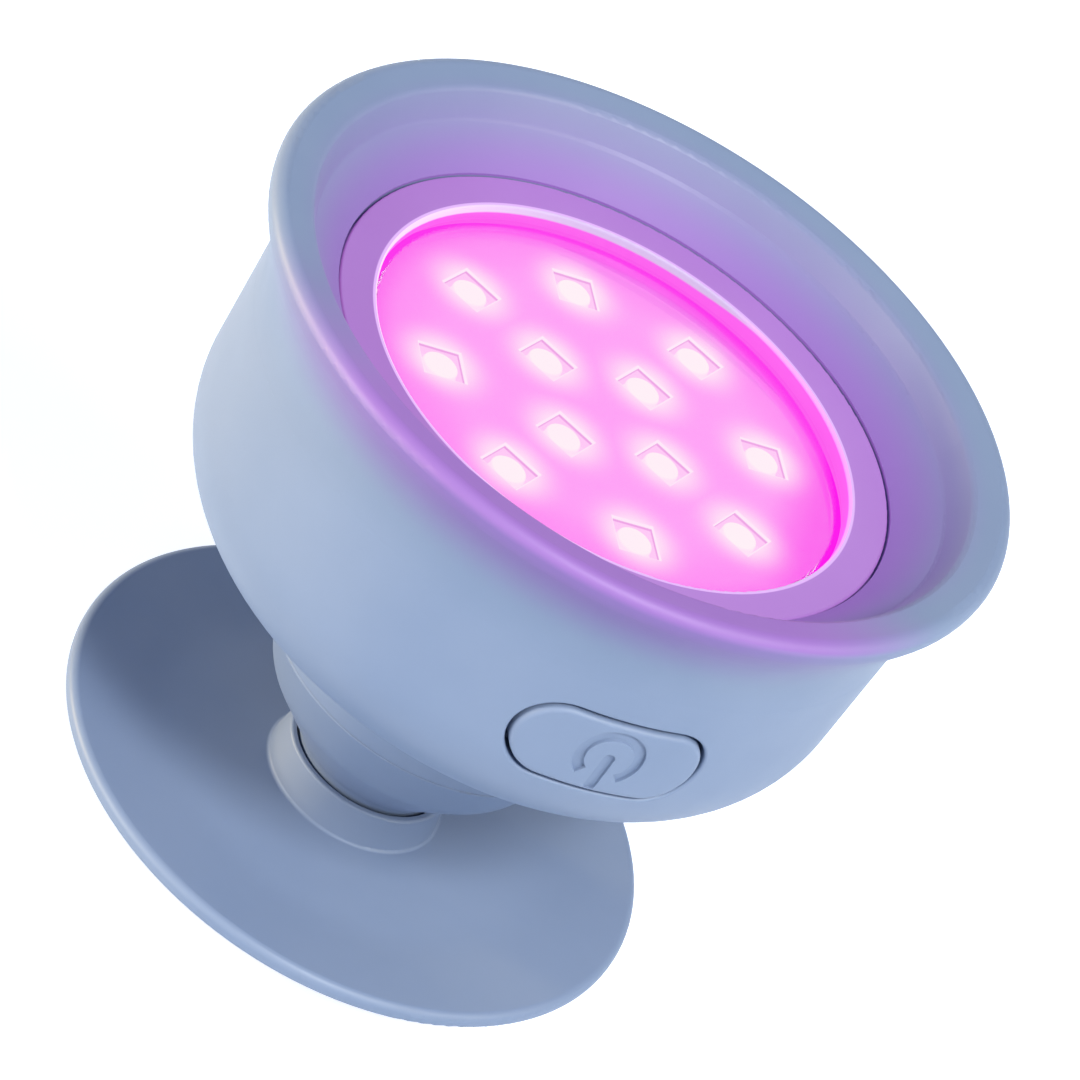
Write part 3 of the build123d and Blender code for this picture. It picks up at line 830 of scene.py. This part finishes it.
def join(name, pieces):
    """Joins pieces into one object with that name."""
    work_on(pieces[0])
    for piece in pieces:
        piece.select_set(True)
    bpy.ops.object.join()
    pieces[0].name = name
    pieces[0].data.name = name
    return pieces[0]


def dress(piece, node, body, slot):
    """Gives a finished piece its body and the slot's finish, in the place of a CAD node."""
    piece.data.materials.clear()
    piece.data.materials.append(finishes[slot])
    work_on(piece)
    bpy.ops.object.shade_smooth_by_angle(angle=SMOOTH_ANGLE)
    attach(piece, body)
    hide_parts(node)
    print(piece.name, "faces:", len(piece.data.polygons))


def span(node, axis):
    """Lowest and highest place of a node along an axis, in millimetres."""
    low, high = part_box(node)
    return low[axis] / MM, high[axis] / MM


print("height of the window:", [round(z, 2) for z in span("lens_window", 2)])

# %% [markdown]
# ## The emitters
#
# Each emitter is a square moulded package with a round silicone lens on its face. It could be a block
# with a bright picture on it, but from a low angle the round lens hides part of the package and shows
# as a bright drop in its square well, so both are modelled. A block is bevelled, and a short cylinder
# is inset and raised in rings, each smaller and flatter than the last, until it is a dome. One emitter
# is made at the middle and then copied round the two rings, each copy turned to face the axis.

# %% Model one emitter
EMITTER_SIZE = 3.5
EMITTER_EDGE = 0.14
LENS_RADIUS = 1.7
LENS_SIDES = 32
LENS_SEAT = 0.45
LENS_HEIGHT = 0.96
LENS_RINGS = 6
LENS_FLAT = 0.5
UPWARD = 0.9
emitter_low, emitter_high = span("outer_emitters", 2)


def model_emitter():
    """Models a package and a dome: the dome's last ring leaves a small flat in its middle."""
    tall = emitter_high - emitter_low
    bpy.ops.mesh.primitive_cube_add(
        size=MM, location=(0, 0, (emitter_low + tall / 2) * MM), scale=(EMITTER_SIZE, EMITTER_SIZE, tall))
    package = name_new("package")
    modify(package, "BEVEL", width=EMITTER_EDGE * MM, segments=EDGE_STEPS, limit_method="ANGLE")
    bpy.ops.mesh.primitive_cylinder_add(
        vertices=LENS_SIDES, radius=LENS_RADIUS * MM, depth=2 * LENS_SEAT * MM,
        location=(0, 0, emitter_high * MM))
    dome = name_new("dome")
    bpy.ops.object.mode_set(mode="EDIT")
    rise = LENS_HEIGHT - LENS_SEAT
    pick(dome, lambda middle, normal: normal.z > UPWARD, "faces")
    for ring in range(LENS_RINGS):
        angles = [math.pi / 2 * step / (LENS_RINGS + LENS_FLAT) for step in (ring, ring + 1)]
        inward = LENS_RADIUS * (math.cos(angles[0]) - math.cos(angles[1]))
        upward = rise * (math.sin(angles[1]) - math.sin(angles[0]))
        bpy.ops.mesh.inset(thickness=inward * MM, depth=upward * MM)
    bpy.ops.object.mode_set(mode="OBJECT")
    return join("emitter", [package, dome])


emitter = model_emitter()
print("emitter faces:", len(emitter.data.polygons))

# %% Copy the emitter round its rings
def ring_turns(ring, count, start):
    """For each place on a ring, the turn about the axis and the move along the turned radius."""
    outward = Matrix.Translation((ring * MM, 0, 0))
    return [Matrix.Rotation(start + math.tau * i / count, 4, "Z") @ outward for i in range(count)]


outer_turns = ring_turns(OUTER_RING, OUTER_COUNT, 0.0)
inner_turns = ring_turns(INNER_RING, INNER_COUNT, math.pi / INNER_COUNT)


def copy_to(original, turns, name):
    """Copies a piece, mesh and all, to each place, and joins the copies."""
    copies = []
    for turn in turns:
        copy = original.copy()
        copy.data = original.data.copy()
        copy.data.transform(turn)
        bpy.context.scene.collection.objects.link(copy)
        copies.append(copy)
    return join(name, copies)


outer_emitters = copy_to(emitter, outer_turns, "lit_outer_emitters")
inner_emitters = copy_to(emitter, inner_turns, "lit_inner_emitters")
bpy.data.objects.remove(emitter)
dress(outer_emitters, "outer_emitters", "head", "emitter")
dress(inner_emitters, "inner_emitters", "head", "emitter")

# %% [markdown]
# ## The reflector plate
#
# A plate with a square well round each emitter. On the real plate each well has a small chamfer all
# round, and that is what is seen of it through the window: a thin bright line along the far edges. So
# the plate is a disc, cut by one block per emitter, and only the upper edges of the wells are
# bevelled.

# %% Model the reflector plate
WELL_SIZE = 3.9
WELL_CHAMFER = 0.28
PLATE_SIDES = 160
CUT_THROUGH = 4
PLATE_HOLE = 0.85
PLATE_HOLE_SIDES = 24
PLATE_HOLE_COUNT = 4
PLATE_HOLE_RING = 25.9
plate_low, plate_high = span("reflector_plate", 2)
plate_radius = span("reflector_plate", 0)[1]


def model_reflector():
    tall = plate_high - plate_low
    bpy.ops.mesh.primitive_cylinder_add(
        vertices=PLATE_SIDES, radius=plate_radius * MM, depth=tall * MM,
        location=(0, 0, (plate_low + tall / 2) * MM))
    plate = name_new("lit_reflector_plate")
    bpy.ops.mesh.primitive_cube_add(
        size=MM, location=(0, 0, plate_high * MM), scale=(WELL_SIZE, WELL_SIZE, CUT_THROUGH * tall))
    well = name_new("well")
    wells = copy_to(well, outer_turns + inner_turns, "wells")
    bpy.data.objects.remove(well)
    cut(plate, wells)
    bpy.ops.mesh.primitive_cylinder_add(
        vertices=PLATE_HOLE_SIDES, radius=PLATE_HOLE * MM, depth=CUT_THROUGH * tall * MM,
        location=(0, 0, plate_high * MM))
    hole = name_new("hole")
    holes = copy_to(hole, ring_turns(PLATE_HOLE_RING, PLATE_HOLE_COUNT, 0.0), "holes")
    bpy.data.objects.remove(hole)
    cut(plate, holes)
    return plate


def chamfer_wells(plate):
    """Bevels the edges where the plate's face meets the walls of the wells."""
    work_on(plate)
    bpy.ops.object.mode_set(mode="EDIT")
    bpy.ops.mesh.select_mode(type="EDGE")
    bpy.ops.mesh.select_all(action="DESELECT")
    mesh = bmesh.from_edit_mesh(plate.data)
    for edge in mesh.edges:
        ends = [vertex.co / MM for vertex in edge.verts]
        high = all(abs(end.z - plate_high) < TOUCH for end in ends)
        inner = all(end.xy.length < OUTER_RING + WELL_SIZE for end in ends)
        walls = any(abs(face.normal.z) < UPWARD for face in edge.link_faces)
        edge.select_set(high and inner and walls)
    bmesh.update_edit_mesh(plate.data)
    bpy.ops.mesh.bevel(offset=WELL_CHAMFER * MM, segments=EDGE_STEPS, affect="EDGES")
    bpy.ops.object.mode_set(mode="OBJECT")


reflector = model_reflector()
chamfer_wells(reflector)
dress(reflector, "reflector_plate", "head", "reflector")

# %% [markdown]
# ## The power button
#
# The button is an oval cap that follows the curve of the bowl, with the power symbol sunk into it, a
# flange behind it that cannot come out through the pocket, and a post that presses the switch. Cutting
# the symbol straight into the curved cap would make it deeper in the middle than at its sides. So the
# whole button is modelled flat, as if the bowl were unrolled, and wrapped round the bowl at the end.
# While it is flat, its front lies in the plane y = 0 and y grows towards the inside.

# %% A flat capsule
BUTTON_ROUND = 0.45
ROUND_STEPS = 6
CAP_DEPTH = 2.75
FLANGE_DEPTH = 1.0
FLANGE_LAP = 0.9
POST_RADIUS = 1.8
POST_DEPTH = 0.6
CURVE_STEPS = 48

flange_x = span("power_button", 0)[1]
flange_z = span("power_button", 2)
button_z = (flange_z[0] + flange_z[1]) / 2
flange_half_tall = (flange_z[1] - flange_z[0]) / 2
cap_half_width = flange_x - FLANGE_LAP
cap_half_tall = flange_half_tall - FLANGE_LAP


def flat_capsule(name, half_width, half_tall, front, depth, corner=0.0):
    """Plate with round ends that faces -Y: its front edge is rounded by corner."""
    bpy.ops.mesh.primitive_circle_add(
        vertices=CURVE_STEPS, radius=half_tall * MM, fill_type="NGON", rotation=(math.pi / 2, 0, 0),
        location=(0, front * MM, 0))
    plate = name_new(name)
    bpy.ops.object.mode_set(mode="EDIT")
    for side in (-1, 1):
        pick(plate, lambda middle, normal: side * middle.x > HAIR)
        bpy.ops.transform.translate(value=(side * (half_width - half_tall) * MM, 0, 0))
    bpy.ops.mesh.select_all(action="SELECT")
    bpy.ops.mesh.extrude_region_move(TRANSFORM_OT_translate={"value": (0, depth * MM, 0)})
    bpy.ops.mesh.select_all(action="SELECT")
    bpy.ops.mesh.normals_make_consistent()
    bpy.ops.object.mode_set(mode="OBJECT")
    if corner:
        round_front(plate, front, corner)
    return plate


def round_front(plate, front, corner):
    """Rounds the edge between the front face and the wall behind it."""
    work_on(plate)
    bpy.ops.object.mode_set(mode="EDIT")
    pick(plate, lambda middle, normal: abs(middle.y - front) < TOUCH)
    bpy.ops.mesh.bevel(offset=corner * MM, segments=ROUND_STEPS, affect="EDGES")
    bpy.ops.object.mode_set(mode="OBJECT")


button = flat_capsule("pressed_cap", cap_half_width, cap_half_tall, 0.0, CAP_DEPTH, BUTTON_ROUND)
print("cap faces:", len(button.data.polygons))

# %% [markdown]
# The symbol is a ring that is open at the bottom, and a bar that runs from the ring's middle down
# through the opening. The ring's section is spun about the ring's middle, and the bar is one more flat
# capsule, turned upright.

# %% Sink the power symbol
SYMBOL_Z = 0.2
RING_OUTER = 3.2
RING_INNER = 2.15
RING_OPENING = math.radians(78)
BAR_TOP = 0.65
BAR_BOTTOM = -3.85
BAR_WIDTH = 1.1
SYMBOL_DEPTH = 0.34
SYMBOL_ROUND = 0.14
SYMBOL_CORNER = math.radians(50)
SYMBOL_PROUD = 1.0


def ring_cutter():
    tall = RING_OUTER - RING_INNER
    middle = (RING_OUTER + RING_INNER) / 2
    deep = SYMBOL_DEPTH + SYMBOL_PROUD
    start = Vector((0, (SYMBOL_DEPTH - SYMBOL_PROUD) / 2, SYMBOL_Z - middle)) * MM
    pivot = Vector((0, 0, SYMBOL_Z)) * MM
    bpy.ops.mesh.primitive_plane_add(size=MM, location=start, rotation=(0, math.pi / 2, 0))
    ring = name_new("ring")
    bpy.ops.object.mode_set(mode="EDIT")
    bpy.ops.mesh.select_all(action="SELECT")
    bpy.ops.transform.resize(value=(1, deep, tall), center_override=start)
    bpy.ops.transform.rotate(value=RING_OPENING / 2, orient_axis="Y", center_override=pivot)
    bpy.ops.mesh.spin(steps=CURVE_STEPS, angle=math.tau - RING_OPENING, center=pivot, axis=(0, 1, 0))
    bpy.ops.mesh.select_all(action="SELECT")
    bpy.ops.mesh.remove_doubles(threshold=HAIR * MM)
    bpy.ops.mesh.normals_make_consistent()
    bpy.ops.object.mode_set(mode="OBJECT")
    return ring


def bar_cutter():
    half = (BAR_TOP - BAR_BOTTOM) / 2
    bar = flat_capsule("bar", half, BAR_WIDTH / 2, -SYMBOL_PROUD, SYMBOL_PROUD + SYMBOL_DEPTH)
    turn = Matrix.Rotation(math.pi / 2, 4, "Y")
    bar.data.transform(Matrix.Translation((0, 0, (BAR_TOP + BAR_BOTTOM) / 2 * MM)) @ turn)
    return bar


cut(button, ring_cutter())
cut(button, bar_cutter())
modify(button, "BEVEL", width=SYMBOL_ROUND * MM, segments=EDGE_STEPS, limit_method="ANGLE",
       angle_limit=SYMBOL_CORNER)
print("faces with the symbol:", len(button.data.polygons))

# %% [markdown]
# A flat face cannot be wrapped: it has no points between its edges. So the button is first sliced into
# a fine grid of narrow strips, both ways. The bowl is round about the axis, so its radius under the
# button is the same as its radius beside it, and a ray that is cast at the bowl from the side measures
# it at each height. Each point then goes back by its own depth from the bowl's surface.

# %% Wrap the button round the bowl
BUTTON_PROUD = 0.25
GRID_STEP = 0.55
GRID_SHIFT = 0.37
POST_SIDES = 32
RAY_SIDE = math.radians(20)
RAY_START = 100
bowl = nodes["housing_bowl"]


def bowl_radius(z):
    """Radius of the bowl's outside at that height, in millimetres."""
    outward = Vector((math.cos(RAY_SIDE), math.sin(RAY_SIDE), 0))
    start = outward * RAY_START + Vector((0, 0, z))
    place = bowl.ray_cast(start * MM, -outward)[1]
    return place.xy.length / MM


def slice_both_ways(piece):
    """Cuts every face along a square grid, shifted clear of the symbol's own edges."""
    work_on(piece)
    bpy.ops.object.mode_set(mode="EDIT")
    for axis, half in ((0, flange_x), (2, flange_x / 2)):
        steps = int(half / GRID_STEP)
        for step in range(-steps, steps + 1):
            plane = Vector((0, 0, 0))
            plane[axis] = (step + GRID_SHIFT) * GRID_STEP * MM
            normal = [float(i == axis) for i in range(3)]
            bpy.ops.mesh.select_all(action="SELECT")
            bpy.ops.mesh.bisect(plane_co=plane, plane_no=normal)
    bpy.ops.object.mode_set(mode="OBJECT")


def wrap(piece):
    """Moves each point of the flat button to its own depth behind the bowl's surface."""
    for vertex in piece.data.vertices:
        x, y, z = vertex.co / MM
        radius = bowl_radius(z + button_z) + BUTTON_PROUD - y
        vertex.co = Vector((x, -math.sqrt(radius * radius - x * x), z + button_z)) * MM


flange = flat_capsule(
    "flange", flange_x, flange_half_tall, CAP_DEPTH - TOUCH, FLANGE_DEPTH + TOUCH)
cut(button, flange, "UNION")
bpy.ops.mesh.primitive_cylinder_add(
    vertices=POST_SIDES, radius=POST_RADIUS * MM, depth=2 * POST_DEPTH * MM, rotation=(math.pi / 2, 0, 0),
    location=(0, (CAP_DEPTH + FLANGE_DEPTH) * MM, 0))
cut(button, name_new("post"), "UNION")
slice_both_ways(button)
wrap(button)
dress(button, "power_button", "button", "button")
for label, box in (("button", (button.bound_box[0], button.bound_box[6])),
                   ("in the frame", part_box("power_button"))):
    print(label, [[round(c / MM, 2) for c in corner] for corner in box])

# %% [markdown]
# ## The charging socket
#
# The socket is folded from thin metal round a tongue that carries the contacts. Only its mouth shows,
# through the seal at the back, but there the eye looks straight into it, so its inside is modelled. A
# flat capsule is hollowed by a smaller one, which leaves the thin wall. The tongue is a block with its
# corners taken off, and one contact is copied along both of its faces.

# %% Model the charging socket
SHELL_WALL = 0.3
SHELL_DEPTH = 6.0
SHELL_EDGE = 0.08
MOUTH_PROUD = 1.0
TONGUE_BACK = 0.5
TONGUE_ROOT = 0.2
TONGUE_EDGE = 0.12
CONTACT_BACK = 0.4
CONTACT_COUNT = 12
CONTACT_PITCH = 0.5
CONTACT_WIDTH = 0.26
CONTACT_LONG = 3.8
CONTACT_TALL = 0.1
half_wide = socket_high[0]
half_tall = (socket_high[2] - socket_low[2]) / 2


def block(name, size, place):
    """Block of a size in millimetres at a place in millimetres."""
    bpy.ops.mesh.primitive_cube_add(size=MM, location=Vector(place) * MM, scale=size)
    return name_new(name)


def model_socket():
    """Models the socket facing -Y with its mouth at y = 0, then turns it to its place."""
    deep = socket_high[1] - socket_low[1]
    shell = flat_capsule("socket_and_contacts", half_wide, half_tall, 0.0, deep)
    hollow = flat_capsule(
        "hollow", half_wide - SHELL_WALL, half_tall - SHELL_WALL, -MOUTH_PROUD, MOUTH_PROUD + SHELL_DEPTH)
    cut(shell, hollow)
    modify(shell, "BEVEL", width=SHELL_EDGE * MM, segments=EDGE_STEPS, limit_method="ANGLE")
    tongue_long = SHELL_DEPTH - TONGUE_BACK + TONGUE_ROOT
    tongue_y = TONGUE_BACK + tongue_long / 2
    tongue = block("tongue", (TONGUE_WIDTH, tongue_long, TONGUE_TALL), (0, tongue_y, 0))
    modify(tongue, "BEVEL", width=TONGUE_EDGE * MM, segments=EDGE_STEPS, limit_method="ANGLE")
    contact_y = TONGUE_BACK + CONTACT_BACK + CONTACT_LONG / 2
    contact = block("contact", (CONTACT_WIDTH, CONTACT_LONG, CONTACT_TALL), (0, contact_y, 0))
    middle = (CONTACT_COUNT - 1) / 2
    places = [
        Matrix.Translation(Vector(((i - middle) * CONTACT_PITCH, 0, side * TONGUE_TALL / 2)) * MM)
        for i in range(CONTACT_COUNT)
        for side in (-1, 1)
    ]
    contacts = copy_to(contact, places, "contacts")
    bpy.data.objects.remove(contact)
    socket = join("socket_and_contacts", [shell, tongue, contacts])
    turn = Matrix.Rotation(math.pi, 4, "Z")
    socket.data.transform(Matrix.Translation(Vector((0, socket_high[1], socket_z)) * MM) @ turn)
    return socket


dress(model_socket(), "charge_socket", "head", "socket")

# %% [markdown]
# ## Light, floor and world
#
# Five soft lamps stand round the object. The small one above the button casts the clear shadow of the
# head on the base, and the large ones make the soft gradients round the bowl. The last one is low and
# warm, and only grazes the bowl's left side, as light from a wall of the room would. The world gives a
# little blue light from all sides, which fills the shadows. The camera, and anything that mirrors or
# lets light through, sees plain white instead, and so does the floor, which only adds the object's
# shadow to it. No extra light falls on the object for that: it is chosen by the kind of ray.

# %% Place the lamps
LAMPS = [
    # name, azimuth, elevation, size, power, tint
    ("key", 0, 51, 0.14, 4.3, (0.94, 0.95, 0.93)),
    ("right", 45, 38, 0.45, 3.3, (1.0, 0.94, 0.76)),
    ("left", -90, 7, 0.45, 5.7, (1.0, 0.93, 0.8)),
    ("front", -45, 8, 0.45, 1.4, (1.0, 0.84, 0.5)),
    ("edge", -122, 1, 0.1, 5.0, (1.0, 0.74, 0.34)),
]
LAMP_DISTANCE = 0.8


def softbox(name, azimuth, elevation, size, power, tint):
    """Square lamp that faces the middle of the picture."""
    data = bpy.data.lights.new(name, "AREA")
    data.size = size
    data.energy = power
    data.color = tint
    lamp = bpy.data.objects.new(name, data)
    towards = direction(math.radians(azimuth), math.radians(elevation))
    lamp.location = CAMERA_AIM + LAMP_DISTANCE * towards
    lamp.rotation_euler = towards.to_track_quat("Z", "Y").to_euler()
    bpy.context.scene.collection.objects.link(lamp)
    print(name, "lamp at", [round(c, 2) for c in lamp.location])


for lamp in LAMPS:
    softbox(*lamp)

# %% [markdown]
# The world's two looks are told apart by the Light Path node. A ray that comes from the camera, from a
# mirroring surface or through the window gets white at full strength, and every other ray gets the
# faint blue.

# %% Make the world
AMBIENT = 0.27
AMBIENT_TINT = (0.06, 0.37, 1.0, 1.0)
WHITE = (1.0, 1.0, 1.0, 1.0)


def seen_ray(shade):
    """1 for rays of the camera, of mirrors and through glass, and 0 for all others."""
    camera_ray, glossy, through = (shade.node("ShaderNodeLightPath", {}, output=kind) for kind in
                                   ("Is Camera Ray", "Is Glossy Ray", "Is Transmission Ray"))
    return shade.maths("MAXIMUM", shade.maths("MAXIMUM", camera_ray, glossy), through)


def white_world(name):
    """Soft light from all round, and plain white where it is seen or mirrored."""
    world = bpy.data.worlds.new(name)
    world.use_nodes = True
    tree = world.node_tree
    seen = seen_ray(Shade(tree))
    background = tree.nodes["Background"]
    strength = seen * (1 - AMBIENT) + AMBIENT
    tree.links.new(strength.socket, background.inputs["Strength"])
    tree.links.new(blend(seen, AMBIENT_TINT, WHITE).socket, background.inputs["Color"])
    return world


bpy.context.scene.world = white_world("studio")
print("nodes of the world:", len(bpy.context.scene.world.node_tree.nodes))

# %% [markdown]
# The floor is plain paint to the light that falls on it, so it keeps the object's shadow and throws a
# little light back. Where it is seen, a glow is added that lifts it to the white of the background.

# %% Lay the floor
FLOOR_SIZE = 6.0
FLOOR_PAINT = (0.62, 0.7, 0.8, 1.0)
FLOOR_LIFT = 0.8


def white_floor(name):
    """White floor that looks white to the camera but still keeps the object's shadow."""
    material = bpy.data.materials.new(name)
    material.use_nodes = True
    tree = material.node_tree
    tree.nodes.clear()
    shade = Shade(tree)
    paint = shade.node("ShaderNodeBsdfDiffuse", {"Color": FLOOR_PAINT})
    lift = shade.node("ShaderNodeEmission", {"Color": WHITE, "Strength": FLOOR_LIFT})
    lifted = shade.node("ShaderNodeAddShader", {0: paint, 1: lift})
    surface = shade.node("ShaderNodeMixShader", {0: seen_ray(shade), 1: paint, 2: lifted})
    out = tree.nodes.new("ShaderNodeOutputMaterial")
    tree.links.new(surface.socket, out.inputs["Surface"])
    return material


drop_selection()
bpy.ops.mesh.primitive_plane_add(size=FLOOR_SIZE)
floor = bpy.context.object
floor.name = "floor"
floor.data.materials.append(white_floor("white_floor"))
bpy.context.scene.view_settings.view_transform = "Standard"
print("floor in metres:", [round(side, 2) for side in floor.dimensions])
